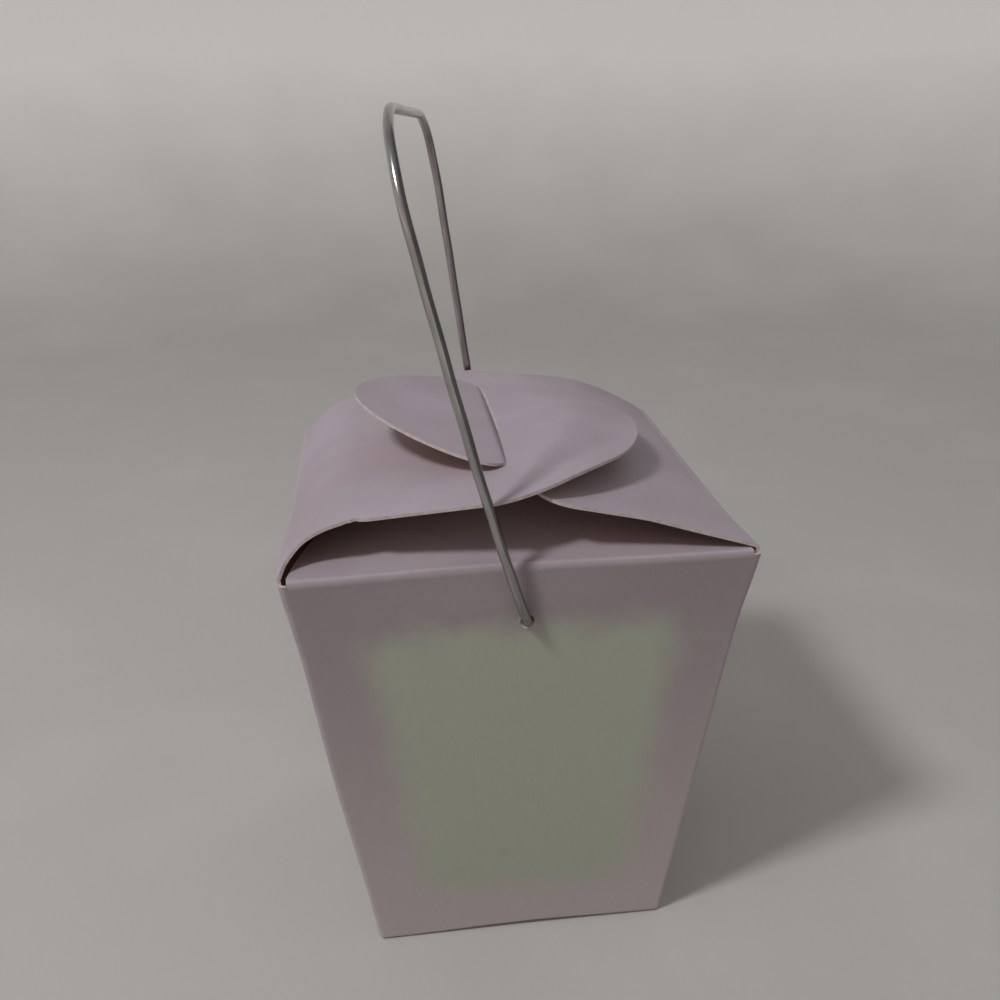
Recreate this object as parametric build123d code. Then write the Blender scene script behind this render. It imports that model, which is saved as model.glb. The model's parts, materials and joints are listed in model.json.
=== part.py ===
from build123d import *
import os
from math import atan, cos, radians, sin, tan

# Treat box: a tapered carton folded from one sheet of card, with a wire bail that swings on it.
# Millimetres, +Z up, origin under the middle of the base; the front wall faces -Y.

# Carton body
top_width = 70.0
top_depth = 70.0
base_width = 51.0
base_depth = 51.0
rim_height = 77.0
card = 0.5
corner_radius = 0.9
base_edge_radius = 0.8
glue_tab_width = 11.0

# Creases along the rim
crease_radius = 0.7
crease_lap = 4.0
corner_relief = 0.6

# Front and back dust flaps, folded in first
dust_length = 26.0
dust_inset = 0.8
dust_droop = 4.0
dust_taper = 12.0
dust_tip_radius = 6.0

# Left closing flap, with the slit
slit_flap_rise = 46.0
slit_flap_lie = 7.8
slit_flap_droop = 9.0
slit_flap_root_inset = 1.6
slit_flap_waist_inset = 5.6
slit_flap_waist_at = 1.8
slit_flap_waist_radius = 3.0
slit_flap_wide_inset = 0.5
slit_flap_shoulder = 6.3
slit_flap_wide_at = 31.0
slit_flap_crest_at = 46.0
slit_flap_reach = 58.8
nose_side_pull = 9.0
nose_tip_pull = 21.5
shoulder_radius = 14.0
crest_radius = 30.0
slit_at = 34.2
slit_clearance = 0.25
nick_at = 11.0
nick_length = 4.0
nick_depth = 0.9

# Right closing flap, whose tongue comes up through the slit
tongue_flap_root_inset = 1.5
tongue_flap_neck_inset = 2.0
tongue_flap_knee_at = 16.0
tongue_flap_knee_height = 5.4
tongue_flap_knee_radius = 40.0
tongue_half = 21.0
tongue_length = 22.7
tongue_ear = 6.0
tongue_side_pull = 4.3
tongue_tip_pull = 13.0
tongue_lift = 16.0
tongue_shoulder_at = 4.6
tongue_shoulder_radius = 6.0
tongue_neck_radius = 1.0
crossing_angle = 45.0
crossing_half = 0.9
crossing_radius = 0.8

# Wire bail
wire = 1.5
wire_clearance = 0.8
foot_clearance = 0.6
foot_radius = 1.35
hole_clearance = 0.25
hole_below_rim = 9.5
hole_off_middle = 0.5
stub_length = 5.0
bail_top_half = 31.0
bail_clear_at = 12.0
bail_clear_radius = 30.0
bail_knee = 32.0
bail_knee_radius = 60.0
bail_corner_radius = 17.0
near_reach = 74.9
near_lean = 14.0
far_reach = 69.0
far_lean = 7.0

# Worked out from the sizes above
lean_x = atan((top_width - base_width) / 2 / rim_height)
lean_y = atan((top_depth - base_depth) / 2 / rim_height)
left_rim = -top_width / 2
right_rim = top_width / 2
wall_top = rim_height - corner_relief
crease_low = rim_height - crease_lap
hole_height = rim_height - hole_below_rim
leg_y = top_depth / 2 + wire_clearance + wire / 2
past_rim = 2 * card
slit_flap_root_half = top_depth / 2 - slit_flap_root_inset
slit_flap_waist_half = top_depth / 2 - slit_flap_waist_inset
slit_flap_wide_half = top_depth / 2 - slit_flap_wide_inset
tongue_flap_root_half = top_depth / 2 - tongue_flap_root_inset
tongue_flap_neck_half = top_depth / 2 - tongue_flap_neck_inset


def half_width(z):
    """Distance from the middle to the outside of the left and right walls at a height."""
    return base_width / 2 + z * tan(lean_x)


def half_depth(z):
    """Distance from the middle to the outside of the front and back walls at a height."""
    return base_depth / 2 + z * tan(lean_y)


def tapered(ring, low, high):
    """Flat-sided solid between two heights, from a function that gives its four corners at a height."""
    bottom = ring(low)
    top = ring(high)
    loops = [bottom, top]
    for i in range(4):
        j = (i + 1) % 4
        loops.append([bottom[i], bottom[j], top[j], top[i]])
    faces = [make_face(Polyline(*loop, close=True)).face() for loop in loops]
    return Solid(Shell(faces))


def corners(left, right, front, back, z):
    """The four corners of a rectangle at a height, in order round it."""
    return [Vector(left, front, z), Vector(right, front, z), Vector(right, back, z), Vector(left, back, z)]


def block(inset, low, high):
    """Tapered block with the carton's outside, set in on all four walls by a thickness of card."""

    def ring(z):
        x = half_width(z) - inset / cos(lean_x)
        y = half_depth(z) - inset / cos(lean_y)
        return corners(-x, x, -y, y, z)

    return tapered(ring, low, high)


def glue_tab():
    """Strip of the right wall folded round the seam and glued to the inside of the back wall."""

    def ring(z):
        x = half_width(z) - card / 2
        front = half_depth(z) - 2 * card / cos(lean_y)
        back = half_depth(z) - card / 2
        return corners(x - glue_tab_width, x, front, back, z)

    return tapered(ring, card, wall_top)


def folded_corners(solid):
    """The upright edges that are folds: all but the glued one, at the back on the right."""
    upright = [e for e in solid.edges() if abs((e @ 1 - e @ 0).Z) > card]
    return [e for e in upright if e.center().X < 0 or e.center().Y < 0]


def body():
    """Four walls and a base, with a glue tab lapped inside the back wall at the seam."""
    outer = block(0, 0, wall_top)
    outer = fillet(folded_corners(outer), corner_radius)
    outer = fillet(outer.edges().group_by(Axis.Z)[0], base_edge_radius)
    room = block(card, card, rim_height)
    room = fillet(folded_corners(room), corner_radius - card)
    return outer - room + glue_tab()


def strip(plane, line, half):
    """Card that follows a folded line drawn in a plane, carried evenly to both sides of it."""
    return extrude(plane * trace(line, card), half, both=True)


def trimmed(sheet, outline):
    """A bent sheet cut to an outline drawn in plan."""
    return sheet & extrude(Pos(0, 0, crease_low - card) * outline, rim_height)


def dust_flap(side):
    """Front (-1) or back (+1) flap: creased over the rim, then nearly level towards the middle."""
    inner = card / 2 / cos(lean_y)
    rim = Vector(side * (top_depth / 2 - inner), rim_height - card / 2)
    low = Vector(side * (half_depth(crease_low) - inner), crease_low)
    tip = rim + Vector(-side * dust_length, -dust_length * tan(radians(dust_droop)))
    sheet = strip(Plane.YZ, FilletPolyline(low, rim, tip, radius=crease_radius), top_width / 2)
    root = top_width / 2 - dust_inset
    end = root - dust_length * tan(radians(dust_taper))
    edge = side * (top_depth / 2 + past_rim)
    stop = side * (top_depth / 2 - dust_length)
    points = [(-root, edge), (root, edge), (end, stop), (-end, stop)]
    radii = [0, 0, dust_tip_radius, dust_tip_radius]
    return trimmed(sheet, make_face(FilletPolyline(*points, radius=radii, close=True)))


def slit_flap_height(x):
    """Height of the middle of the slit flap's long run."""
    shoulder_height = rim_height + slit_flap_shoulder * tan(radians(slit_flap_rise))
    return shoulder_height + (x - left_rim - slit_flap_shoulder) * tan(radians(slit_flap_lie))


slit_x = left_rim + slit_at
slit_height = slit_flap_height(slit_x)
slit_half = tongue_half + slit_clearance


def slit_flap():
    """Left flap: rises from its crease, rolls over, lies across the box and ends in a round nose."""
    inner = card / 2 / cos(lean_x)
    low = (-half_width(crease_low) + inner, crease_low)
    rim = (left_rim + inner, rim_height)
    shoulder_x = left_rim + slit_flap_shoulder
    crest_x = left_rim + slit_flap_crest_at
    tip_x = left_rim + slit_flap_reach
    crest = slit_flap_height(crest_x)
    line = FilletPolyline(
        low,
        rim,
        (shoulder_x, slit_flap_height(shoulder_x)),
        (crest_x, crest),
        (tip_x + card, crest - (tip_x + card - crest_x) * tan(radians(slit_flap_droop))),
        radius=[crease_radius, shoulder_radius, crest_radius],
    )
    sheet = strip(Plane.XZ, line, top_depth)
    waist_x = left_rim + slit_flap_waist_at
    wide_x = left_rim + slit_flap_wide_at
    side = FilletPolyline(
        (left_rim - past_rim, slit_flap_root_half),
        (left_rim, slit_flap_root_half),
        (waist_x, slit_flap_waist_half),
        (wide_x, slit_flap_wide_half),
        radius=[crease_radius, slit_flap_waist_radius],
    )
    edge = Curve() + [
        Line((left_rim - past_rim, 0), (left_rim - past_rim, slit_flap_root_half)),
        side,
        Bezier(
            (wide_x, slit_flap_wide_half),
            (wide_x + nose_side_pull, slit_flap_wide_half),
            (tip_x, nose_tip_pull),
            (tip_x, 0),
        ),
    ]
    flap = trimmed(sheet, make_face(edge + mirror(edge, Plane.XZ)))
    relative = radians(crossing_angle + slit_flap_lie)
    width = (card * cos(relative) + card) / sin(relative) + 2 * slit_clearance
    flap -= Pos(slit_x, 0, slit_height) * Box(width, 2 * slit_half, 4 * card)
    nick_x = left_rim + nick_at
    slope = (slit_flap_wide_half - slit_flap_waist_half) / (wide_x - waist_x)
    nick_y = -slit_flap_waist_half - (nick_x - waist_x) * slope
    nick = make_face(
        Polyline(
            (nick_x - nick_length / 2, nick_y - card),
            (nick_x - nick_length / 4, nick_y + nick_depth),
            (nick_x + nick_length / 2, nick_y - card),
            close=True,
        )
    )
    return flap - extrude(Pos(0, 0, rim_height) * nick, rim_height)


def tongue_flap():
    """Right flap: slopes up under the slit flap, then its tongue turns up through the slit and locks."""
    inner = card / 2 / cos(lean_x)
    low = (half_width(crease_low) - inner, crease_low)
    rim = (right_rim - inner, rim_height)
    knee = (right_rim - tongue_flap_knee_at, rim_height + tongue_flap_knee_height)
    drop = crossing_half * tan(radians(crossing_angle))
    under = (slit_x + crossing_half, slit_height - drop)
    over_x = slit_x - crossing_half
    over_height = slit_height + drop
    tip_x = slit_x - tongue_length
    run = over_x - tip_x + card
    line = FilletPolyline(
        low,
        rim,
        knee,
        under,
        (over_x, over_height),
        (tip_x - card, over_height + run * tan(radians(tongue_lift))),
        radius=[crease_radius, tongue_flap_knee_radius, crossing_radius, crossing_radius],
    )
    sheet = strip(Plane.XZ, line, top_depth)
    neck_x = slit_x + 2 * crossing_half
    shoulder_x = slit_x + tongue_shoulder_at
    side = FilletPolyline(
        (right_rim + past_rim, tongue_flap_root_half),
        (shoulder_x, tongue_flap_neck_half),
        (neck_x, tongue_half),
        (over_x, tongue_half),
        radius=[tongue_shoulder_radius, tongue_neck_radius],
    )
    edge = Curve() + [
        Line((right_rim + past_rim, 0), (right_rim + past_rim, tongue_flap_root_half)),
        side,
        Bezier(
            (over_x, tongue_half),
            (over_x - tongue_side_pull, tongue_half + tongue_ear),
            (tip_x, tongue_tip_pull),
            (tip_x, 0),
        ),
    ]
    return trimmed(sheet, make_face(edge + mirror(edge, Plane.XZ)))


def carton():
    """The whole folded sheet, with a hole for the bail in the front and back walls."""
    sheet = body() + dust_flap(-1) + dust_flap(1) + slit_flap() + tongue_flap()
    hole = Cylinder(wire / 2 + hole_clearance, 2 * top_depth, rotation=(90, 0, 0))
    return sheet - Pos(hole_off_middle, 0, hole_height) * hole


def leg(side, lean, reach):
    """Points of one leg of the bail, from its stub inside the wall to its upper corner."""
    pivot = Vector(hole_off_middle, 0, hole_height)
    up = Vector(-sin(radians(lean)), 0, cos(radians(lean)))
    out = Vector(0, side, 0)
    stub = half_depth(hole_height) - card - stub_length
    foot_y = half_depth(hole_height) + foot_clearance + wire / 2
    return [
        pivot + out * stub,
        pivot + out * foot_y,
        pivot + out * leg_y + up * bail_clear_at,
        pivot + out * leg_y + up * bail_knee,
        pivot + out * bail_top_half + up * reach,
    ]


def wire_handle():
    """Bail bent from one wire: a stub in each hole, a leg up each side and a bar across the top."""
    near = leg(-1, near_lean, near_reach)
    far = leg(1, far_lean, far_reach)
    side = [foot_radius, bail_clear_radius, bail_knee_radius, bail_corner_radius]
    path = FilletPolyline(*near, *reversed(far), radius=[*side, *reversed(side)])
    return sweep(Plane(near[0], z_dir=near[1] - near[0]) * Circle(wire / 2), path)


os.makedirs("parts", exist_ok=True)
export_step(carton(), "parts/carton.step")
export_step(wire_handle(), "parts/wire_handle.step")
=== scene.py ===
import json
from functools import partial
from math import ceil, cos, pi, radians, sin, tan

import bmesh
import bpy
import numpy as np
from bpy.props import FloatProperty, FloatVectorProperty, PointerProperty
from mathutils import Matrix, Vector


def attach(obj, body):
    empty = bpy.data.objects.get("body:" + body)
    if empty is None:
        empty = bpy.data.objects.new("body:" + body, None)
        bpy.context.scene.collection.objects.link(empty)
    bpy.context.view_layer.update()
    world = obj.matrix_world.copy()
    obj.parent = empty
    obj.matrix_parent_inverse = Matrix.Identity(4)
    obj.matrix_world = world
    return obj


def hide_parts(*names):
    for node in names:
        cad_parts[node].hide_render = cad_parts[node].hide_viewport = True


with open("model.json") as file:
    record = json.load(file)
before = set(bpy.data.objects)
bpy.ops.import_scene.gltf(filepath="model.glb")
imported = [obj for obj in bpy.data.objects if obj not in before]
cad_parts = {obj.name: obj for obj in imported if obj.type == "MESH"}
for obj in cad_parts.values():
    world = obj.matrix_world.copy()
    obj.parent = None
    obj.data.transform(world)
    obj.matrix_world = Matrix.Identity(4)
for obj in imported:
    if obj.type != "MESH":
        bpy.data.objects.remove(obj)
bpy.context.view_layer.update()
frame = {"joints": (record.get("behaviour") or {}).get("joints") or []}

bl_info = {
    "name": "Treat box",
    "version": (1, 0, 0),
    "blender": (4, 5, 0),
    "location": "View3D > Sidebar > Treat box",
    "description": "A folded card treat box with a wire bail, on a pale round cove",
    "category": "Object",
}

PIVOT = frame["joints"][0]["pos_m"]
MM = 0.001

# How finely the surfaces are divided, and how they are joined and shaded.
FLAP_COLUMNS = 49
SLIT_COLUMNS = 31
BESIDE_SLIT_COLUMNS = 13
NOSE_POINTS = 48
TONGUE_POINTS = 44
WALL_ROWS = 54
CORNER_POINTS = 8
BASE_FOLD_ROWS = 7
BASE_ROWS = 15
TAB_COLUMNS = 9
HOLE_ROWS = 9
WIRE_SIDES = 21
COVE_SIDES = 73
COVE_CURVE_ROWS = 13
WELD = 0.002 * MM
SHARP_EDGE = radians(50)

# A small dent low on the front wall.
DENT = (-2.7 * MM, -27.7 * MM, 17.9 * MM)

# Which way each wall runs and faces, seen from above: along x, along y, out x, out y.
SIDES = {
    "back": (-1, 0, 0, 1),
    "left": (0, -1, -1, 0),
    "front": (1, 0, 0, -1),
    "right": (0, 1, 1, 0),
}

# Where the folded card has sprung out of true, in mm: middle, reach and push along x, y and z.
STRAYS = [
    [(-6, -35, 78), (20, 8, 6), (0, 1.2, 0)],
    [(-35, -26, 77), (14, 10, 9), (-1.1, 0, 0)],
    [(-30, -30, 40), (12, 10, 22), (-0.45, 0, 0)],
    [(35, -35, 77), (9, 9, 9), (0.9, 0, 0)],
    [(-30, 4, 40), (9, 16, 20), (-0.35, 0, 0)],
    [(30, 2, 42), (9, 17, 20), (0.4, 0, 0)],
    [(-3, 30, 38), (17, 9, 20), (0, 0.4, 0)],
    [(1, -25.5, 0), (16, 6, 12), (0, 0, 0.6)],
]


def linear(code):
    """An sRGB hex colour as linear red, green, blue and full alpha."""
    value = np.array([int(code[i : i + 2], 16) for i in (1, 3, 5)]) / 255
    value = np.where(value <= 0.04045, value / 12.92, ((value + 0.055) / 1.055) ** 2.4)
    return (*value.tolist(), 1.0)


def length(name, description, millimetres):
    return FloatProperty(
        name=name, description=description, default=millimetres * MM, unit="LENGTH", subtype="DISTANCE"
    )


def angle(name, description, degrees):
    return FloatProperty(
        name=name, description=description, default=radians(degrees), unit="ROTATION", subtype="ANGLE"
    )


def colour(name, description, code):
    return FloatVectorProperty(
        name=name, description=description, default=linear(code), size=4, subtype="COLOR", min=0, max=1
    )


def power(name, description, watts):
    return FloatProperty(name=name, description=description, default=watts, unit="POWER", min=0)


def number(name, description, value):
    return FloatProperty(name=name, description=description, default=value, min=0)


class TREATBOX_PG_carton(bpy.types.PropertyGroup):
    """The walls, base and dust flaps of the folded sheet."""

    top_width: length("Top width", "Outside width at the rim", 70)
    top_depth: length("Top depth", "Outside depth at the rim", 70)
    base_width: length("Base width", "Outside width at the base", 51)
    base_depth: length("Base depth", "Outside depth at the base", 51)
    rim_height: length("Rim height", "Height of the creases that the flaps turn on", 77)
    card: length("Card", "Thickness of the card", 0.5)
    corner_radius: length("Corner radius", "Outside radius of the upright folds", 0.9)
    base_edge_radius: length("Base edge radius", "Outside radius of the folds round the base", 0.8)
    glue_tab_width: length("Glue tab", "Width of the tab glued inside the back wall", 11)
    crease_radius: length("Crease radius", "Radius of the creases along the rim", 0.7)
    crease_start: length("Crease start", "How far below the rim the creases start to turn", 1.3)
    corner_relief: length("Corner relief", "How far the walls' corners stop below the rim", 0.6)
    dust_length: length("Dust flap length", "Front and back flaps, from the crease to the tip", 26)
    dust_inset: length("Dust flap inset", "How far these flaps' roots stop short of the corners", 0.8)
    dust_droop: angle("Dust flap droop", "Slope of these flaps towards the middle", 4)
    dust_spring: angle("Dust flap spring", "How much steeper the front dust flap has sprung up", 12)
    dust_taper: angle("Dust flap taper", "Slant of these flaps' sides", 12)
    dust_tip_radius: length("Dust flap tip radius", "Rounded corners at these flaps' tips", 6)
    hole_clearance: length("Hole clearance", "Room round the wire in its hole", 0.25)
    hole_lip: length("Hole lip", "How far the punched card stands up at the lower left of a hole", 0.3)


class TREATBOX_PG_closure(bpy.types.PropertyGroup):
    """The left flap with its slit, and the right flap with its tongue."""

    rise: angle("Slit flap rise", "Slope of the left flap just past its crease", 46)
    lie: angle("Slit flap lie", "Slope of the left flap's long run", 7.8)
    droop: angle("Slit flap droop", "Slope of the left flap's nose", 9)
    root_inset: length("Slit flap inset", "How far its root stops short of the corners", 1.6)
    waist_inset: length("Slit flap waist", "How far its waist stops short of the walls", 5.6)
    waist_at: length("Slit flap waist place", "From the left rim to the waist", 1.8)
    waist_radius: length("Slit flap waist radius", "Radius of the edge's turn at the waist", 3)
    wide_inset: length("Slit flap width inset", "How far its widest place stops short of the walls", 0.5)
    shoulder: length("Slit flap shoulder", "Where it rolls over, from the left rim", 6.3)
    wide_at: length("Slit flap widest", "Where its round nose starts, from the left rim", 31)
    crest_at: length("Slit flap crest", "Where it starts to go down, from the left rim", 46)
    reach: length("Slit flap reach", "From the left rim to the tip of the nose", 58.8)
    nose_side_pull: length("Nose side pull", "How far the nose carries on the flap's sides", 9)
    nose_tip_pull: length("Nose tip pull", "How blunt the nose's tip is", 21.5)
    shoulder_radius: length("Shoulder radius", "Radius of the roll past the crease", 14)
    crest_radius: length("Crest radius", "Radius of the bend over the crest", 30)
    nose_sag: length("Nose sag", "How far the nose would hang at the far corner of its outline", 5)
    far_lift: length("Tongue flap lift", "How far the tongue flap has sprung up at the back", 2.3)
    slit_at: length("Slit", "From the left rim to the slit", 34.2)
    slit_gap: length("Slit gap", "How far the tongue holds the slit open", 1.25)
    lip_lift: length("Lip lift", "How far the slit's two lips stand out of line", 0.1)
    lip_reach: length("Lip reach", "How far from the slit its lips are bent", 4)
    nick_at: length("Nick", "From the left rim to the nick in the front edge", 11)
    nick_length: length("Nick length", "Length of the nick along the edge", 4)
    nick_depth: length("Nick depth", "Depth of the nick", 0.9)
    tongue_root_inset: length("Tongue flap inset", "How far its root stops short of the corners", 1.5)
    tongue_neck_inset: length("Tongue flap neck", "How far its far end stops short of the walls", 2)
    knee_at: length("Knee", "From the right rim to the right flap's bend", 16)
    knee_height: length("Knee height", "Height of that bend above the rim", 5.4)
    knee_radius: length("Knee radius", "Radius of that bend", 40)
    tongue_half: length("Tongue half width", "Half the tongue's width in the slit", 21)
    tongue_length: length("Tongue length", "From the slit to the tongue's tip", 22.7)
    tongue_ear: length("Tongue ear", "How far the tongue's curve swells past the slit's ends", 6)
    tongue_side_pull: length("Tongue side pull", "How soon the tongue swells", 4.3)
    tongue_tip_pull: length("Tongue tip pull", "How blunt the tongue's tip is", 13)
    tongue_lift: angle("Tongue lift", "Slope of the tongue above the left flap", 16)
    tongue_shoulder_at: length("Tongue shoulder", "From the slit to the right flap's shoulder", 4.6)
    tongue_shoulder_radius: length("Tongue shoulder radius", "Radius of that shoulder", 6)
    tongue_neck_radius: length("Tongue neck radius", "Radius between shoulder and tongue", 1)
    crossing_angle: angle("Crossing angle", "Slope of the tongue where it comes through", 45)
    crossing_half: length("Crossing", "Half the run that has this slope", 0.5)
    crossing_radius: length("Crossing radius", "Radius of the bends beside it", 0.35)


class TREATBOX_PG_bail(bpy.types.PropertyGroup):
    """The wire handle."""

    wire: length("Wire", "Thickness of the wire", 1.5)
    wire_clearance: length("Wire clearance", "Room between a leg and the rim", 0.8)
    stub_length: length("Stub", "How far the wire reaches inside the wall", 5)
    top_half: length("Bail top", "Half the bail's width at the bar", 31)
    foot_clearance: length("Foot clearance", "Room between a foot and the wall", 0.6)
    foot_radius: length("Foot radius", "Radius of the bend at each foot", 1.35)
    clear_at: length("Clear of rim", "From the holes to where the legs stand clear of the rim", 12)
    clear_radius: length("Clear radius", "Radius of that bend", 30)
    knee: length("Bail knee", "From the holes to where the legs close in", 32)
    knee_radius: length("Bail knee radius", "Radius of that bend", 60)
    corner_radius: length("Bail corner radius", "Radius of the corners beside the bar", 17)
    near_reach: length("Near reach", "From the front hole to the bar", 74.9)
    near_lean: angle("Near lean", "Lean of the front leg to the left", 14)
    far_reach: length("Far reach", "From the back hole to the bar", 69)
    far_lean: angle("Far lean", "Lean of the back leg to the left", 7)
    near_bow: length("Near bow", "How far the near leg is bowed to the right", -0.8)
    far_bow: length("Far bow", "How far the far leg is bowed to the right", 0.4)
    wave: length("Wave", "How far the hand-bent wire strays from its line", 0.025)
    wave_length: length("Wave length", "From one such stray to the next", 12)


class TREATBOX_PG_print(bpy.types.PropertyGroup):
    """The soft field of colour printed on the front wall."""

    low: length("Field bottom", "Height of the field's lower edge", 10.5)
    high: length("Field top", "Height of the field's upper edge", 66)
    left_low: length("Field lower left", "From the middle to its left edge at the bottom", 16.5)
    left_high: length("Field upper left", "From the middle to its left edge at the top", 23.5)
    right_low: length("Field lower right", "From the middle to its right edge at the bottom", 18)
    right_high: length("Field upper right", "From the middle to its right edge at the top", 24)
    fade: length("Field fade", "Width over which its edges fade out", 11)


class TREATBOX_PG_finish(bpy.types.PropertyGroup):
    """Colours of the card and the wire."""

    lavender: colour("Lavender", "Printed card", "#ADA1AB")
    lavender_shade: colour("Lavender shade", "Printed card where the ink is denser", "#A3969F")
    # These two front-wall colours are painted light: the upper one is painted shade, darker than the lavender
    # card, and the lower one is painted bounce light from the floor along the foot.
    front_painted_shade: colour("Blush", "Printed card on the front wall", "#8E8286")
    front_painted_bounce: colour("Low blush", "Printed card along the foot of the front wall", "#B2A6A7")
    sage: colour("Sage", "Soft field of colour on the front wall", "#A3A797")
    # This paler colour is both real wear on the folds and a painted highlight on the back half of the slit's
    # lip.
    pale_wear_and_highlight: colour("Worn fold", "Printed card where a fold has rubbed it", "#C0B6BB")
    board: colour("Board", "Unprinted inside of the card", "#D9AD88")
    board_fleck: colour("Board fleck", "Fibres in the unprinted inside", "#A98468")
    core: colour("Core", "Cut edges of the card", "#BDB0AE")
    core_dark: colour("Core shade", "Cut edges where the knife has crushed them", "#AA9C9B")
    steel: colour("Steel", "Bright drawn wire", "#B7B4B2")
    # This dark colour is both a real dull film and painted shade on the wire near its feet.
    steel_film: colour("Steel film", "Wire where a dull film has formed", "#6C6867")


class TREATBOX_PG_studio(bpy.types.PropertyGroup):
    """Cove, lights and camera."""

    cove: colour("Cove floor", "Painted floor", "#B9B7B4")
    cove_wall: colour("Cove wall", "Painted surround", "#F8F6F2")
    cove_radius: length("Cove radius", "Where the floor starts to curve up", 420)
    cove_curve: length("Cove curve", "Radius of that curve", 300)
    cove_height: length("Cove height", "Height of the cove's rim", 900)
    key_power: power("Key light", "Light from the upper left, in front", 2.35)
    key_size: length("Key light size", "Width of that light", 105)
    key_distance: length("Key light distance", "From the box to that light", 690)
    key_left: number("Key left", "Its way to the left for each unit up", 0.68)
    key_front: number("Key front", "Its way to the front for each unit up", 0.51)
    key_aim: length("Key aim", "Height that it is aimed at", 80)
    sky: colour("Sky", "Even light from above", "#B9B9BC")
    sky_strength: number("Sky strength", "How bright that light is", 0.68)
    flag: colour("Flag", "Grey cloth that the wire mirrors on its right", "#757575")
    flag_out: length("Flag distance", "From the box to the cloth on the right", 210)
    flag_front: length("Flag front", "How far the cloth reaches to the front", 1100)
    flag_back: length("Flag back", "How far the cloth reaches to the back", 260)
    flag_height: length("Flag height", "Height of the cloth", 520)
    camera_place: FloatVectorProperty(
        name="Camera place",
        description="Where the camera stands",
        default=(-18.585 * MM, -170.148 * MM, 144.679 * MM),
        size=3,
        unit="LENGTH",
        subtype="TRANSLATION",
    )
    camera_yaw: angle("Camera yaw", "Turn to the right from straight back", 6.4)
    camera_pitch: angle("Camera pitch", "Tilt down", 22.686)
    camera_roll: angle("Camera roll", "Turn about the line of sight", -1.192)
    lens: number("Lens", "Focal length in mm on a sensor 36 mm wide", 37.73)


class TREATBOX_PG_settings(bpy.types.PropertyGroup):
    """Everything that can be set."""

    carton: PointerProperty(type=TREATBOX_PG_carton)
    closure: PointerProperty(type=TREATBOX_PG_closure)
    bail: PointerProperty(type=TREATBOX_PG_bail)
    field: PointerProperty(type=TREATBOX_PG_print)
    finish: PointerProperty(type=TREATBOX_PG_finish)
    studio: PointerProperty(type=TREATBOX_PG_studio)


# Shapes as arrays


def unit(vector):
    return vector / np.linalg.norm(vector)


def rounded_path(points, radii, step):
    """Straight runs joined by tangent arcs, as rows of points about a step apart.

    At a corner that turns by 2h, an arc of radius r has its centre r/cos(h) from the corner on the line
    that halves it, and the arc's points swing from -h to h about that line.
    """
    points = np.asarray(points, float)
    arcs = [points[:1]]
    for before, corner, after, radius in zip(points, points[1:], points[2:], radii):
        back, on = unit(before - corner), unit(after - corner)
        halves, across = unit(back + on), unit(on - back)
        half_turn = pi / 2 - np.arccos(np.clip(back @ on, -1, 1)) / 2
        count = max(5, ceil(2 * half_turn * radius / step) + 1)
        swing = np.linspace(-half_turn, half_turn, count)[:, None]
        centre = corner + halves * radius / cos(half_turn)
        arcs.append(centre - halves * radius * np.cos(swing) + across * radius * np.sin(swing))
    arcs.append(points[-1:])
    path = [arcs[0]]
    for start, end in zip(arcs, arcs[1:]):
        count = max(1, ceil(np.linalg.norm(end[0] - start[-1]) / step))
        share = np.linspace(0, 1, count + 1)[1:-1, None]
        path += [start[-1] + (end[0] - start[-1]) * share, end]
    return np.concatenate(path)


def bezier(points, count):
    """Cubic curve through the first and last of four points, pulled towards the middle two."""
    a, b, c, d = np.asarray(points, float)
    t = np.linspace(0, 1, count)[:, None]
    return a * (1 - t) ** 3 + 3 * b * t * (1 - t) ** 2 + 3 * c * t**2 * (1 - t) + d * t**3


def grid_faces(rows, columns, keep=None):
    """Quads of a grid of points, in the order that turns up x along outwards; keep leaves cells out."""
    first = np.arange(rows * columns).reshape(rows, columns)
    corners = (first[:-1, :-1], first[:-1, 1:], first[1:, 1:], first[1:, :-1])
    faces = np.stack(corners, axis=-1)
    return faces.reshape(-1, 4) if keep is None else faces[keep]


def add_mesh(name, patches, materials, uv=None):
    """One object from patches of (grid, faces): points are joined where patches meet."""
    starts = np.cumsum([0] + [grid.shape[0] * grid.shape[1] for grid, _ in patches])
    points = np.concatenate([grid.reshape(-1, 3) for grid, _ in patches])
    faces = np.concatenate([part + start for (_, part), start in zip(patches, starts)])
    mesh = bpy.data.meshes.new(name)
    mesh.from_pydata(points, [], faces.tolist())
    if uv is not None:
        layer = mesh.uv_layers.new(name="along_wire")
        layer.data.foreach_set("uv", uv[faces].ravel().astype(np.float32))
    work = bmesh.new()
    work.from_mesh(mesh)
    bmesh.ops.remove_doubles(work, verts=work.verts, dist=WELD)
    loose = [point for point in work.verts if not point.link_faces]
    bmesh.ops.delete(work, geom=loose, context="VERTS")
    work.to_mesh(mesh)
    work.free()
    mesh.shade_smooth()
    for material in materials:
        mesh.materials.append(material)
    piece = bpy.data.objects.new(name, mesh)
    bpy.context.scene.collection.objects.link(piece)
    return piece


def mesh_points(mesh):
    points = np.empty(len(mesh.vertices) * 3, np.float32)
    mesh.vertices.foreach_get("co", points)
    return points.reshape(-1, 3).astype(float)


def set_values(mesh, name, values):
    """Keeps one number for each point under a name that a material can read."""
    mesh.attributes.new(name, "FLOAT", "POINT").data.foreach_set("value", values.astype(np.float32))


# The folded sheet


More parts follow.
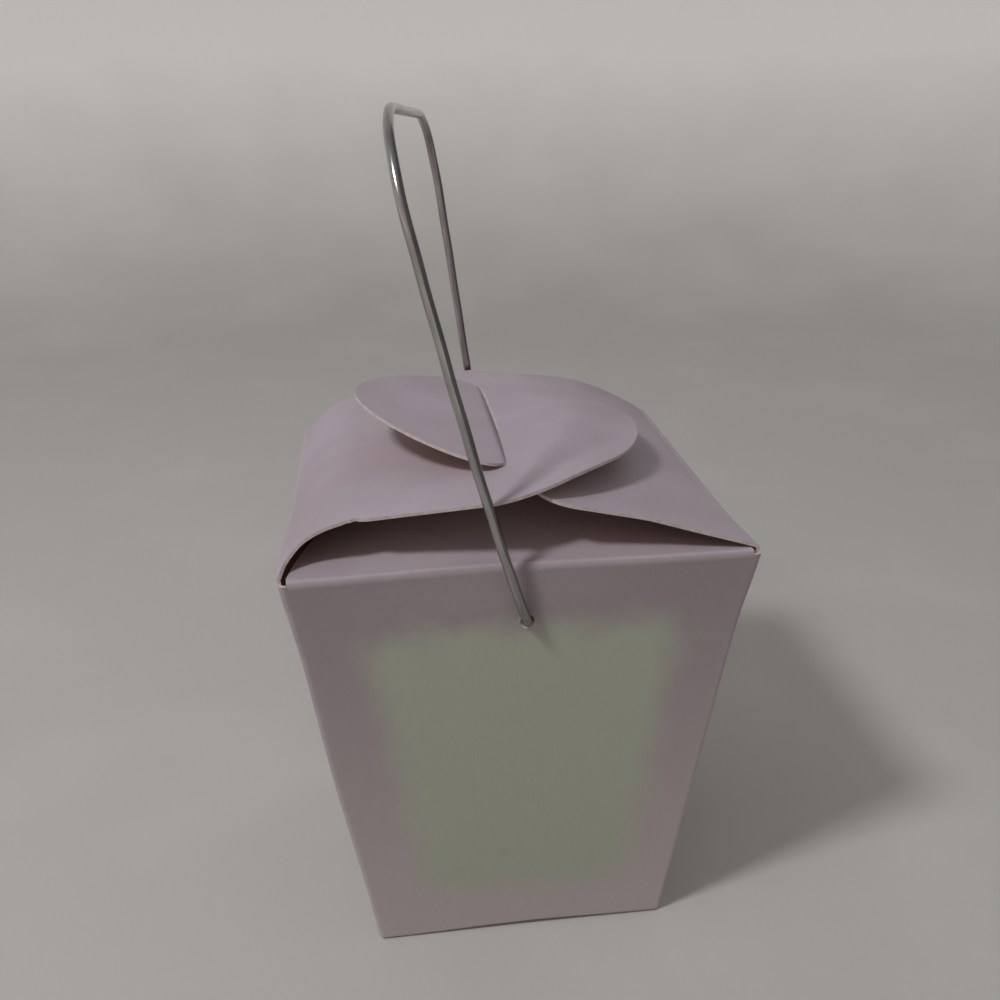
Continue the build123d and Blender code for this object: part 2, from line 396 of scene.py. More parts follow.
class Sheet:
    """The middle of the card's thickness, from which every wall and flap is worked out."""

    def __init__(self, carton, closure):
        self.c, self.f = carton, closure
        self.slope_x = (carton.top_width - carton.base_width) / 2 / carton.rim_height
        self.slope_y = (carton.top_depth - carton.base_depth) / 2 / carton.rim_height
        self.wall_top = carton.rim_height - carton.corner_relief
        self.fold_line = carton.rim_height - carton.crease_start
        self.fold = carton.corner_radius - carton.card / 2
        self.slit_out = carton.top_width / 2 - closure.slit_at

    def half_x(self, z):
        """From the middle to the left and right walls at a height."""
        return self.c.base_width / 2 + z * self.slope_x - self.c.card / 2

    def half_y(self, z):
        """From the middle to the front and back walls at a height."""
        return self.c.base_depth / 2 + z * self.slope_y - self.c.card / 2


def place(side, along, out, z):
    """Points on one side of the box: so far along its wall, out from the middle, and up."""
    along_x, along_y, out_x, out_y = SIDES[side]
    return np.stack(
        np.broadcast_arrays(along * along_x + out * out_x, along * along_y + out * out_y, z), axis=-1
    )


def flap_columns(sheet):
    """Places across each flap, from -1 at one edge to 1 at the other; the left's hold the slit's ends."""
    even = np.linspace(-1, 1, FLAP_COLUMNS)
    _, slit_half, half_there = slit_measures(sheet)
    end = slit_half / half_there
    left = np.concatenate(
        [
            np.linspace(-1, -end, BESIDE_SLIT_COLUMNS),
            np.linspace(-end, end, SLIT_COLUMNS)[1:-1],
            np.linspace(end, 1, BESIDE_SLIT_COLUMNS),
        ]
    )
    return {"front": even, "back": even, "right": even, "left": left}


def slit_measures(sheet):
    """Height of the left flap at the slit, half the slit's length, and the flap's half-width there."""
    f = sheet.f
    slit_half = f.tongue_half + sheet.c.hole_clearance
    nose = nose_outline(sheet)
    half_there = np.interp(-sheet.slit_out, -nose[:, 0], nose[:, 1])
    return slit_flap_height(sheet, sheet.slit_out), slit_half, half_there


def nose_outline(sheet):
    """Half the left flap's outline, from its widest place to its tip: one Bezier curve of (out, half-width)."""
    f = sheet.f
    edge, wide = sheet.c.top_width / 2, sheet.c.top_depth / 2 - f.wide_inset
    start, tip = edge - f.wide_at, edge - f.reach
    pulled = [(start, wide), (start - f.nose_side_pull, wide), (tip, f.nose_tip_pull), (tip, 0)]
    return bezier(pulled, NOSE_POINTS)


def root_half(sheet, side):
    """Half the width of a flap's root."""
    c, f = sheet.c, sheet.f
    inset = {"left": f.root_inset, "right": f.tongue_root_inset}
    half = c.top_depth / 2 - inset[side] if side in inset else c.top_width / 2 - c.dust_inset
    return min(half, sheet.half_x(sheet.fold_line) - sheet.fold - c.card / 2)


def slit_flap_height(sheet, out):
    """Height of the middle of the left flap's long run, so far out from the middle of the box."""
    c, f = sheet.c, sheet.f
    along = c.top_width / 2 - f.shoulder - out
    return c.rim_height + f.shoulder * tan(f.rise) + along * tan(f.lie)


def wall_stations(sheet, columns):
    """Places along each wall's fold line: the flap's columns, and one more from each root to the corner."""
    stations = {}
    for side, share in columns.items():
        half = sheet.half_x(sheet.fold_line) if side in ("front", "back") else sheet.half_y(sheet.fold_line)
        corner = half - sheet.fold
        stations[side] = np.concatenate([[-corner], share * root_half(sheet, side), [corner]])
    return stations


def ring(sheet, stations, half_x, half_y, fold, z):
    """Columns round the box from the seam at the back on the right, along the back, left, front and right.

    Each row is a rounded rectangle: straight runs whose stations keep their shares of the run, and quarter
    circles of the fold's radius between them. half_x, half_y, fold and z have one value for each row.
    """
    quarter = np.linspace(0, pi / 2, CORNER_POINTS)[1:-1]
    parts = []
    for side in SIDES:
        along, out = (half_x, half_y) if side in ("front", "back") else (half_y, half_x)
        top = sheet.half_x(sheet.fold_line) if side in ("front", "back") else sheet.half_y(sheet.fold_line)
        share = (along - fold) / (top - sheet.fold)
        parts.append(place(side, stations[side] * share, out, z))
        if side != "right":
            turn_along = along - fold + fold * np.sin(quarter)
            turn_out = out - fold + fold * np.cos(quarter)
            parts.append(place(side, turn_along, turn_out, z))
    return parts


def walls(sheet, stations):
    """Four walls and the glue tab: one strip whose last fold turns in behind the back wall's free edge.

    The rows stand at even heights up to the fold line; one more carries the corners on to the wall's top.
    Gives the strip and the column at which each of its parts starts.
    """
    c = sheet.c
    low = c.base_edge_radius
    z = np.append(np.linspace(low, sheet.fold_line, WALL_ROWS), sheet.wall_top)[:, None]
    half_x, half_y = sheet.half_x(z), sheet.half_y(z)
    parts = ring(sheet, stations, half_x, half_y, sheet.fold, z)
    quarter = np.linspace(0, pi / 2, CORNER_POINTS)[1:]
    lap = c.card * 1.1
    along = half_y - sheet.fold + (sheet.fold - lap) * np.sin(quarter)
    parts.append(place("right", along, half_x - sheet.fold + sheet.fold * np.cos(quarter), z))
    tab = np.linspace(0, c.glue_tab_width, TAB_COLUMNS)[1:]
    parts.append(place("back", sheet.fold - half_x + tab, half_y - lap, z))
    counts = np.cumsum([0] + [part.shape[1] for part in parts])
    return np.concatenate(parts, axis=1), counts


def base(sheet, stations):
    """The folds round the base and the base itself: rings that turn under, then shrink to the middle."""
    c = sheet.c
    radius = c.base_edge_radius - c.card / 2
    turn = np.linspace(0, pi / 2, BASE_FOLD_ROWS)
    shrink = np.linspace(1, 0, BASE_ROWS)[1:]
    z = c.base_edge_radius - radius * np.sin(turn)
    inset = radius * (1 - np.cos(turn))
    share = np.concatenate([np.ones(len(turn)), shrink])[:, None]
    z = np.concatenate([z, np.full(len(shrink), c.card / 2)])[:, None]
    inset = np.concatenate([inset, np.full(len(shrink), radius)])[:, None]
    half_x = (sheet.half_x(np.maximum(z, c.base_edge_radius)) - inset) * share
    half_y = (sheet.half_y(np.maximum(z, c.base_edge_radius)) - inset) * share
    fold = sheet.fold * share
    parts = ring(sheet, stations, half_x, half_y, fold, z)
    quarter = np.linspace(0, pi / 2, CORNER_POINTS)[1:-1]
    along, out = half_y - fold + fold * np.sin(quarter), half_x - fold + fold * np.cos(quarter)
    parts.append(place("right", along, out, z))
    parts.append(parts[0][:, :1])
    return np.concatenate(parts, axis=1)[::-1]


def pierced(grid, columns, hole, radius, lip):
    """Cuts a round hole in a wall's grid: (cells that stay, a ring patch from the cut-out to the hole).

    The cells about the hole are left out. The patch runs from their outline to the circle, each point
    straight towards the hole's middle, in rows that close up as a power. Its inner rim stands up by the lip,
    most at the lower left, as a steep power of the way in, and is wider there by half the lip, so that the
    tilted card still clears the wire.
    """
    rows_z = grid[:, columns.start, 2]
    reach = 3 * radius
    r0, r1 = np.searchsorted(rows_z, hole[2] - reach), np.searchsorted(rows_z, hole[2] + reach)
    row = (r0 + r1) // 2
    near = np.abs(grid[row, columns, 0] - hole[0]) < reach
    c0, c1 = columns.start + np.flatnonzero(near)[[0, -1]]
    keep = np.ones((grid.shape[0] - 1, grid.shape[1] - 1), bool)
    keep[r0:r1, c0:c1] = False
    edges = [grid[r0, c0:c1], grid[r0:r1, c1], grid[r1, c1:c0:-1], grid[r1:r0:-1, c0]]
    outline = np.concatenate([*edges, grid[r0, c0 : c0 + 1]])
    up = unit(grid[row + 1, c0] - grid[row, c0])
    sideways = unit(grid[row, c0 + 1] - grid[row, c0])
    outward = np.cross(sideways, up)
    middle = np.array([hole[0], 0, hole[2]])
    middle[1] = np.interp(hole[2], rows_z, grid[:, c0, 1])
    spoke = outline - middle
    flat = np.stack([spoke @ sideways, spoke @ up], axis=1)
    flat = flat / np.linalg.norm(flat, axis=1, keepdims=True)
    lower_left = (0.5 - flat.sum(axis=1) / 8**0.5)[:, None]
    rim = middle + (radius + lip * lower_left**2 / 2) * (flat[:, :1] * sideways + flat[:, 1:] * up)
    closing, steepness = 1.6, 6
    share = (np.linspace(1, 0, HOLE_ROWS) ** closing)[:, None, None]
    patch = rim + (outline - rim) * share + outward * lip * lower_left**2 * (1 - share) ** steepness
    return keep, patch


def flap_rows(profile, outline):
    """Rows of a flap from wall to tip: height from its profile, half-width from its outline.

    The profile is (out, height) along the fold, the outline (out, half-width) from past the crease on.
    """
    over = np.argmax(profile[:, 0] < outline[0, 0])
    lap = profile[:over]
    z = np.interp(-outline[:, 0], -profile[over - 1 :, 0], profile[over - 1 :, 1])
    out = np.concatenate([lap[:, 0], outline[:, 0]])
    half = np.concatenate([np.full(over, outline[0, 1]), outline[:, 1]])
    return out, np.concatenate([lap[:, 1], z]), half


def dust_flap(sheet, side, columns):
    """Front or back flap: over the crease, then nearly level, to a tip with rounded corners.

    The front one has sprung up: its slope is steeper by an angle that falls off as 1 - u^2 to its sides.
    """
    c = sheet.c
    rim = sheet.half_y(c.rim_height)
    tip = rim - c.dust_length
    points = [
        (sheet.half_y(sheet.fold_line), sheet.fold_line),
        (rim, c.rim_height - c.card / 2),
        (tip, c.rim_height - c.card / 2 - c.dust_length * tan(c.dust_droop)),
    ]
    profile = rounded_path(points, [c.crease_radius], MM)
    root = root_half(sheet, side)
    end = root - c.dust_length * tan(c.dust_taper)
    start = rim - 2 * c.crease_radius
    outline = rounded_path([(start, root), (tip, end), (tip, 0)], [c.dust_tip_radius], 1.2 * MM)
    outline = outline[outline[:, 0] > tip + 1e-6]
    out, z, half = flap_rows(profile, outline)
    across = columns * half[:, None]
    sprung = np.clip(start - out, 0, None) * tan(c.dust_spring if side == "front" else 0)
    return place(side, across, out[:, None], z[:, None] + sprung[:, None] * (1 - (across / root) ** 2))


def slit_flap(sheet, columns):
    """Left flap: rises, rolls over, lies across the box, ends in a round nose; two grids, cut at the slit.

    The cut is open between its ends by a half ellipse; the wall's lip is pressed down, the nose's is lifted.
    The nick is a tent along the front edge with a ripple on it.
    The nose hangs at the back by its distance past the slit times its distance behind the middle.
    """
    c, f = sheet.c, sheet.f
    rim = sheet.half_x(c.rim_height)
    edge = c.top_width / 2
    tip = edge - f.reach
    crest = slit_flap_height(sheet, edge - f.crest_at)
    points = [
        (sheet.half_x(sheet.fold_line), sheet.fold_line),
        (rim, c.rim_height),
        (edge - f.shoulder, slit_flap_height(sheet, edge - f.shoulder)),
        (edge - f.crest_at, crest),
        (tip - c.card, crest - (f.reach + c.card - f.crest_at) * tan(f.droop)),
    ]
    profile = rounded_path(points, [c.crease_radius, f.shoulder_radius, f.crest_radius], 0.5 * MM)
    root, waist = root_half(sheet, "left"), c.top_depth / 2 - f.waist_inset
    nose = nose_outline(sheet)
    side = rounded_path(
        [(rim - c.card / 2, root), (edge - f.waist_at, waist), nose[0]], [f.waist_radius], 0.4 * MM
    )
    whole = np.concatenate([side, nose[1:]])
    _, slit_half, half_there = slit_measures(sheet)
    at_slit = [(sheet.slit_out, half_there)]
    before = np.concatenate([whole[whole[:, 0] > sheet.slit_out + 0.1 * MM], at_slit])
    after = np.concatenate([at_slit, whole[whole[:, 0] < sheet.slit_out - 0.1 * MM]])
    end = slit_half / half_there
    past_crease = 20
    opened = np.sqrt(np.clip(1 - (columns / end) ** 2, 0, 1))
    grids = []
    for outline, pull in ((before, 1), (after, -1)):
        if pull > 0:
            out, z, half = flap_rows(profile, outline)
        else:
            out, half = outline.T
            z = np.interp(-out, -profile[past_crease:, 0], profile[past_crease:, 1])
        close = np.exp(-np.abs(out - sheet.slit_out) / f.lip_reach)[:, None]
        reach_out = out[:, None] + pull * f.slit_gap / 2 * opened * close
        height = z[:, None] - pull * f.lip_lift * opened * close
        from_nick = (edge - f.nick_at - out) / (f.nick_length / 2)
        ripple = 0.75 + 0.25 * np.sin(9 * from_nick)
        nick = np.clip(1 - np.abs(from_nick), 0, 1) * ripple * f.nick_depth
        across = columns * half[:, None] - np.clip(columns, 0, 1) * nick[:, None]
        past_slit = np.clip((sheet.slit_out - out) / (f.reach - f.slit_at), 0, 1)[:, None]
        height -= f.nose_sag * past_slit * np.clip(-across / nose[0, 1], 0, 1)
        grids.append(place("left", across, reach_out, height))
    return grids


def tongue_flap(sheet, columns):
    """Right flap: slopes up under the left one, steps in to its tongue, and turns up through the slit.

    Between its crease and its neck it has sprung up at the back: an arch, the sine of half a turn, that
    peaks early and falls off evenly to nought at the front edge.
    """
    c, f = sheet.c, sheet.f
    rim = sheet.half_x(c.rim_height)
    edge = c.top_width / 2
    slit = -sheet.slit_out
    slit_height, _, _ = slit_measures(sheet)
    drop = f.crossing_half * tan(f.crossing_angle)
    over, tip = slit - f.crossing_half, slit - f.tongue_length
    points = [
        (sheet.half_x(sheet.fold_line), sheet.fold_line),
        (rim, c.rim_height),
        (edge - f.knee_at, c.rim_height + f.knee_height),
        (slit + f.crossing_half, slit_height - drop),
        (over, slit_height + drop),
        (tip - c.card, slit_height + drop + (over - tip + c.card) * tan(f.tongue_lift)),
    ]
    radii = [c.crease_radius, f.knee_radius, f.crossing_radius, f.crossing_radius]
    profile = rounded_path(points, radii, 0.5 * MM)
    root, neck = root_half(sheet, "right"), c.top_depth / 2 - f.tongue_neck_inset
    start = rim - 2 * c.crease_radius
    side = rounded_path(
        [
            (start, root),
            (slit + f.tongue_shoulder_at, neck),
            (slit + 2 * f.crossing_half, f.tongue_half),
            (over, f.tongue_half),
        ],
        [f.tongue_shoulder_radius, f.tongue_neck_radius],
        0.6 * MM,
    )
    tongue = bezier(
        [
            (over, f.tongue_half),
            (over - f.tongue_side_pull, f.tongue_half + f.tongue_ear),
            (tip, f.tongue_tip_pull),
            (tip, 0),
        ],
        TONGUE_POINTS,
    )
    out, z, half = flap_rows(profile, np.concatenate([side, tongue[1:]]))
    across = columns * half[:, None]
    share = np.clip((start - out) / (start - slit - 2 * f.crossing_half), 0, 1)
    earlier = 0.8
    sprung = f.far_lift * np.sin(pi * share**earlier)
    return place("right", across, out[:, None], z[:, None] + sprung[:, None] * (1 + across / root) / 2)


def slack(points):
    """How a folded carton springs out of true: each stray is a push that fades as a bell from its middle."""
    moved = points.copy()
    for middle, reach, push in np.array(STRAYS) * MM:
        bell = np.exp(-(((points - middle) / reach) ** 2).sum(axis=1))
        moved += bell[:, None] * push
    return moved


def sage_field(sheet, field, points):
    """How strongly the front wall's field of colour prints: soft steps in from its four edges, multiplied.

    Both sides slant with the wall. Each step rises as 3t^2 - 2t^3 over the width of the fade.
    """
    x, _, z = points.T
    slant = np.clip((z - field.low) / (field.high - field.low), 0, 1)
    left = field.left_low + (field.left_high - field.left_low) * slant
    right = field.right_low + (field.right_high - field.right_low) * slant
    inside = np.stack([x + left, right - x, z - field.low, field.high - z])
    t = np.clip(inside / field.fade + 0.5, 0, 1)
    return np.prod(3 * t**2 - 2 * t**3, axis=0) * front_wall(sheet, points)


def front_wall(sheet, points):
    """One on the front wall, nought elsewhere: close to its plane, and below the crease along the rim."""
    close = np.abs(points[:, 1] + sheet.half_y(points[:, 2])) < sheet.fold
    return (close & (points[:, 2] < sheet.c.rim_height - sheet.c.card)).astype(float)


def fold_wear_and_lip_highlight(sheet, points):
    """How rubbed each point is, with a painted highlight on the slit's lip: a bell curve of its distance to
    the nearest crease line.

    The lines are the four upright folds, the four rims and the four edges of the base. Along the back half of
    the slit's lip on the nose a narrower bell stands three times as high: a painted highlight where the cut
    lip catches the light.
    """
    fold_reach, lip_reach, lip_highlight = 0.6 * MM, 0.3 * MM, 3
    x, y, z = np.abs(points[:, 0]), np.abs(points[:, 1]), points[:, 2]
    c = sheet.c
    from_x, from_y = sheet.half_x(z) - x, sheet.half_y(z) - y
    upright = np.where(z < c.rim_height, np.maximum(from_x, from_y), np.inf)
    rim_x = np.hypot(sheet.half_x(c.rim_height) - x, z - c.rim_height)
    rim_y = np.hypot(sheet.half_y(c.rim_height) - y, z - c.rim_height)
    foot = np.hypot(z, np.minimum(np.abs(from_x), np.abs(from_y)))
    nearest = np.minimum.reduce([upright, rim_x, rim_y, foot])
    slit_height, slit_half, _ = slit_measures(sheet)
    open_by = sheet.f.slit_gap / 2 * np.sqrt(np.clip(1 - (points[:, 1] / slit_half) ** 2, 0, 1))
    from_lip = points[:, 0] + sheet.slit_out - open_by
    back_half = (points[:, 1] > -3 * MM) & (points[:, 1] < slit_half)
    on_nose = back_half & (np.abs(z - slit_height) < c.card / 2) & (from_lip > -c.card / 10)
    # Painted highlight: the back half of the slit's lip is painted paler where its cut edge catches the light.
    lip = np.where(on_nose, np.exp(-((from_lip / lip_reach) ** 2)), 0)
    return np.exp(-((nearest / fold_reach) ** 2)) + lip_highlight * lip


def hand_bent(run, wave, wave_length):
    """How far a wire bent by hand strays from its line: two sine waves of its length, along x and along y.

    Both fade in over one wave length, a wave length from either end.
    """
    turn = 2 * pi * run / wave_length
    fade = np.clip(np.minimum(run, run[-1] - run) / wave_length - 1, 0, 1)
    strays = np.stack([np.sin(turn), 0.6 * np.sin(0.62 * turn + 1), 0 * turn], axis=1)
    return wave * fade[:, None] * strays


def carton_patches(sheet, hole_radius):
    """Every patch of the sheet, as (grid, faces); the strip's top row is left out where a flap goes on.

    The strip's even parts are its walls, in the order of SIDES, and the back and front walls are pierced.
    """
    columns = flap_columns(sheet)
    stations = wall_stations(sheet, columns)
    strip, counts = walls(sheet, stations)
    keep, patches = np.ones((strip.shape[0] - 1, strip.shape[1] - 1), bool), []
    for part, side in zip((0, 2, 4, 6), SIDES):
        keep[-1, counts[part] + 1 : counts[part] + len(columns[side])] = False
    for part in (0, 4):
        span = slice(counts[part], counts[part + 1])
        stays, patch = pierced(strip, span, PIVOT, hole_radius, sheet.c.hole_lip)
        keep = keep & stays
        patches.append((patch, grid_faces(*patch.shape[:2])))
    patches.append((strip, grid_faces(*strip.shape[:2], keep)))
    lids = [base(sheet, stations), *slit_flap(sheet, columns["left"])]
    lids.append(tongue_flap(sheet, columns["right"]))
    lids += [dust_flap(sheet, side, columns[side]) for side in ("front", "back")]
    return patches + [(grid, grid_faces(*grid.shape[:2])) for grid in lids]


# The wire and the stage


def bail_path(sheet, bail):
    """The wire's middle line from stub to stub, and the length run at each point.

    A leg goes out of its hole, up its leaning line and clear of the rim, and closes in from its knee to the
    bar, with arcs at the corners. It is bowed along x by its bow times the sine of half a turn of its rise,
    taken to a power that moves the bow down, and strays as hand-bent wire does.
    """
    carton = sheet.c
    wall = sheet.half_y(PIVOT[2]) + carton.card / 2
    leg_y = carton.top_depth / 2 + bail.wire_clearance + bail.wire / 2
    foot_y = wall + bail.foot_clearance + bail.wire / 2
    stub = wall - carton.card - bail.stub_length

    def leg(side, lean, reach):
        up = np.array([-sin(lean), 0, cos(lean)])
        out = np.array([0, side, 0])
        return [
            PIVOT + out * stub,
            PIVOT + out * foot_y,
            PIVOT + out * leg_y + up * bail.clear_at,
            PIVOT + out * leg_y + up * bail.knee,
            PIVOT + out * bail.top_half + up * reach,
        ]

    radii = [bail.foot_radius, bail.clear_radius, bail.knee_radius, bail.corner_radius]
    points = leg(-1, bail.near_lean, bail.near_reach) + leg(1, bail.far_lean, bail.far_reach)[::-1]
    path = rounded_path(points, radii + radii[::-1], 0.8 * MM)
    run = np.cumsum(np.linalg.norm(np.diff(path, axis=0, prepend=path[:1]), axis=1))
    rise = np.clip((path[:, 2] - PIVOT[2]) / (path[:, 2].max() - PIVOT[2]), 0, 1)
    lower = 0.75
    path[:, 0] += np.where(path[:, 1] < 0, bail.near_bow, bail.far_bow) * np.sin(pi * rise**lower)
    return path + hand_bent(run, bail.wave, bail.wave_length), run


def round_wire(path, run, wire):
    """A circle carried along a path, closed at both ends, and its map: (grid, uv).

    The circle lies square to the path: in the x direction less its part along the path, and in the cross
    product of the path's direction with that. u is the length run and v the way round, both true to size.
    """
    tangent = np.gradient(path, axis=0)
    tangent /= np.linalg.norm(tangent, axis=1, keepdims=True)
    across = np.array([1, 0, 0]) - tangent[:, :1] * tangent
    across /= np.linalg.norm(across, axis=1, keepdims=True)
    third = np.cross(tangent, across)
    around = np.linspace(0, 2 * pi, WIRE_SIDES)
    circle = across[:, None] * np.cos(around)[:, None] + third[:, None] * np.sin(around)[:, None]
    tube = path[:, None] + circle * wire / 2
    caps = [np.repeat(path[[end]][:, None], len(around), axis=1) for end in (0, -1)]
    grid = np.concatenate([caps[0], tube, caps[1]])
    u = np.concatenate([run[:1], run, run[-1:]])[:, None]
    return grid, np.stack(np.broadcast_arrays(u, around * wire / 2), axis=-1).reshape(-1, 2)


def round_cove(studio):
    """A profile turned about the z axis: a level floor, a quarter circle up, and an upright wall."""
    curve = np.linspace(0, pi / 2, COVE_CURVE_ROWS)
    flat, turn = studio.cove_radius, studio.cove_curve
    out = np.concatenate([[0, flat / 2], flat + turn * np.sin(curve), [flat + turn]])[:, None]
    up = np.concatenate([[0, 0], turn * (1 - np.cos(curve)), [studio.cove_height]])[:, None]
    around = np.linspace(0, 2 * pi, COVE_SIDES)
    return np.stack(np.broadcast_arrays(out * np.cos(around), out * np.sin(around), up), axis=-1)[:, ::-1]


# Materials


def add_node(tree, kind, sockets=None, output=0, **settings):
    """Adds a node with its settings, its sockets as values or links, and gives one of its outputs."""
    node = tree.nodes.new("ShaderNode" + kind)
    for key, value in settings.items():
        setattr(node, key, value)
    for key, value in (sockets or {}).items():
        if isinstance(value, bpy.types.NodeSocket):
            tree.links.new(value, node.inputs[key])
        else:
            node.inputs[key].default_value = value
    return node.outputs[output] if node.outputs else None


def new_material(name):
    """An empty node material, and add_node for its tree."""
    material = bpy.data.materials.new(name)
    material.use_nodes = True
    material.node_tree.nodes.clear()
    return material, partial(add_node, material.node_tree)


def per_size(millimetres):
    """Scale of a pattern whose features are so many millimetres across."""
    return 1 / (millimetres * MM)


def printed_card(finish):
    """Uncoated paperboard, offset printed: matt lavender, cloudy where the ink took unevenly.

    A soft sage field lies on the front wall. The front wall is painted darker than the lavender as painted
    shade, and paler towards its foot as painted bounce light from the floor. The folds are rubbed paler, and
    the back half of the slit's lip is painted paler as a highlight. The eye gets a fine tooth of fibres, with a
    slow unevenness of the board and one dent under it.
    """
    material, add = new_material("paperboard_offset_printed")
    where = add("TexCoord", output="Object")
    # Size in mm, detail and roughness of each cloud. Real fibres are too fine to show, so they are coarser.
    cloud, drift, patchiness, uneven, speckle, clumps, fibres = (
        add("TexNoise", {"Vector": where, "Scale": per_size(size), "Detail": detail, "Roughness": rough})
        for size, detail, rough in (
            (22, 3, 0.5),
            (7, 3, 0.5),
            (2.5, 4, 0.65),
            (9, 1, 0.5),
            (0.9, 3, 0.6),
            (1.8, 2, 0.5),
            (0.45, 3, 0.6),
        )
    )
    on_front, on_field, on_fold_and_lip = (
        add("Attribute", output="Fac", attribute_name=name)
        for name in ("front_wall", "sage_field", "fold_wear_and_lip_highlight")
    )

    dense = add("MapRange", {"Value": cloud, "From Min": 0.35, "From Max": 0.65})
    height = add("SeparateXYZ", {"Vector": where}, "Z")
    # Painted light on the front wall: painted shade, darker than the lavender, paling towards the foot as
    # painted bounce light from the floor.
    up_front = add("MapRange", {"Value": height, "From Min": 4 * MM, "From Max": 74 * MM})
    front_painted_light = {"Factor": up_front, "A": finish.front_painted_bounce, "B": finish.front_painted_shade}
    front = add("Mix", front_painted_light, 2, data_type="RGBA")
    ragged = {"Value": drift, "From Min": 0.3, "From Max": 0.7, "To Min": -0.16, "To Max": 0.16}
    edge = add("Math", {0: on_field, 1: add("MapRange", ragged)}, operation="ADD")
    inked = add("MapRange", {"Value": edge, "From Min": 0.1, "From Max": 0.9})
    field = add("Math", {0: inked, 1: on_front}, operation="MULTIPLY")
    # Paler folds are real wear; along the slit's lip the same paler colour is a painted highlight.
    patchy = {"Value": patchiness, "From Min": 0.35, "From Max": 0.65, "To Min": 0.15, "To Max": 0.45}
    pale_wear_and_highlight = add("Math", {0: add("MapRange", patchy), 1: on_fold_and_lip}, operation="MULTIPLY")
    specks = add("MapRange", {"Value": speckle, "From Min": 0.35, "From Max": 0.75, "To Max": 0.16})
    card = finish.lavender
    for share, over in (
        (dense, finish.lavender_shade),
        (on_front, front),
        (field, finish.sage),
        (pale_wear_and_highlight, finish.pale_wear_and_highlight),
        (specks, finish.lavender_shade),
    ):
        card = add("Mix", {"Factor": share, "A": card, "B": over}, 2, data_type="RGBA")

    from_dent = add("VectorMath", {0: where, 1: DENT}, "Value", operation="DISTANCE")
    dent = add("MapRange", {"Value": from_dent, "From Min": 0.4 * MM, "From Max": 2.2 * MM})
    tooth = add("Math", {0: fibres, 1: clumps}, operation="ADD")
    board = add("Bump", {"Height": uneven, "Distance": 0.05 * MM})
    dented = add("Bump", {"Height": dent, "Distance": 0.1 * MM, "Normal": board})
    gloss = {"Value": speckle, "From Min": 0.3, "From Max": 0.7, "To Min": 0.56, "To Max": 0.7}
    finished = {
        "Base Color": card,
        "Roughness": add("MapRange", gloss),
        "Normal": add("Bump", {"Height": tooth, "Distance": 0.035 * MM, "Normal": dented}),
        "Specular IOR Level": 0.35,
    }
    add("OutputMaterial", {"Surface": add("BsdfPrincipled", finished)})
    return material


def inner_board(finish):
    """Uncoated back of recycled board: dull tan, with darker fibres felted into it."""
    material, add = new_material("recycled_board_uncoated_back")
    where = add("TexCoord", output="Object")
    # Fibres 0.35 mm across and 1.6 mm long, coarser than real ones, which are too fine to show.
    fibre = (per_size(0.35), per_size(1.6), per_size(0.35))
    lengthwise = add("Mapping", {"Vector": where, "Scale": fibre})
    fibres = add("TexNoise", {"Vector": lengthwise, "Scale": 1, "Detail": 4, "Roughness": 0.65})
    cloud = add("TexNoise", {"Vector": where, "Scale": per_size(14), "Detail": 2})
    dark = add("MapRange", {"Value": fibres, "From Min": 0.45, "From Max": 0.7})
    thick = add("MapRange", {"Value": cloud, "From Min": 0.2, "From Max": 0.8, "To Min": 0.5})
    fleck = add("Math", {0: dark, 1: thick}, operation="MULTIPLY")
    tone = {"Factor": fleck, "A": finish.board, "B": finish.board_fleck}
    dull = {"Value": fibres, "From Min": 0.3, "From Max": 0.7, "To Min": 0.82, "To Max": 0.95}
    finished = {
        "Base Color": add("Mix", tone, 2, data_type="RGBA"),
        "Roughness": add("MapRange", dull),
        "Normal": add("Bump", {"Height": fibres, "Distance": 0.05 * MM}),
        "Specular IOR Level": 0.2,
    }
    add("OutputMaterial", {"Surface": add("BsdfPrincipled", finished)})
    return material


def cut_edge(finish):
    """Board cut by a die: the pale plies show, crushed darker here and there by the knife."""
    material, add = new_material("paperboard_die_cut_edge")
    where = add("TexCoord", output="Object")
    knife = {"Vector": where, "Scale": per_size(1.1), "Detail": 3, "Roughness": 0.6}
    crushed = add("MapRange", {"Value": add("TexNoise", knife), "From Min": 0.42, "From Max": 0.68})
    plies = add("TexNoise", {"Vector": where, "Scale": per_size(0.18), "Detail": 2})
    tone = {"Factor": crushed, "A": finish.core, "B": finish.core_dark}
    dull = {"Value": plies, "From Min": 0.3, "From Max": 0.7, "To Min": 0.8, "To Max": 0.95}
    finished = {
        "Base Color": add("Mix", tone, 2, data_type="RGBA"),
        "Roughness": add("MapRange", dull),
        "Normal": add("Bump", {"Height": plies, "Distance": 0.04 * MM}),
        "Specular IOR Level": 0.2,
    }
    add("OutputMaterial", {"Surface": add("BsdfPrincipled", finished)})
    return material


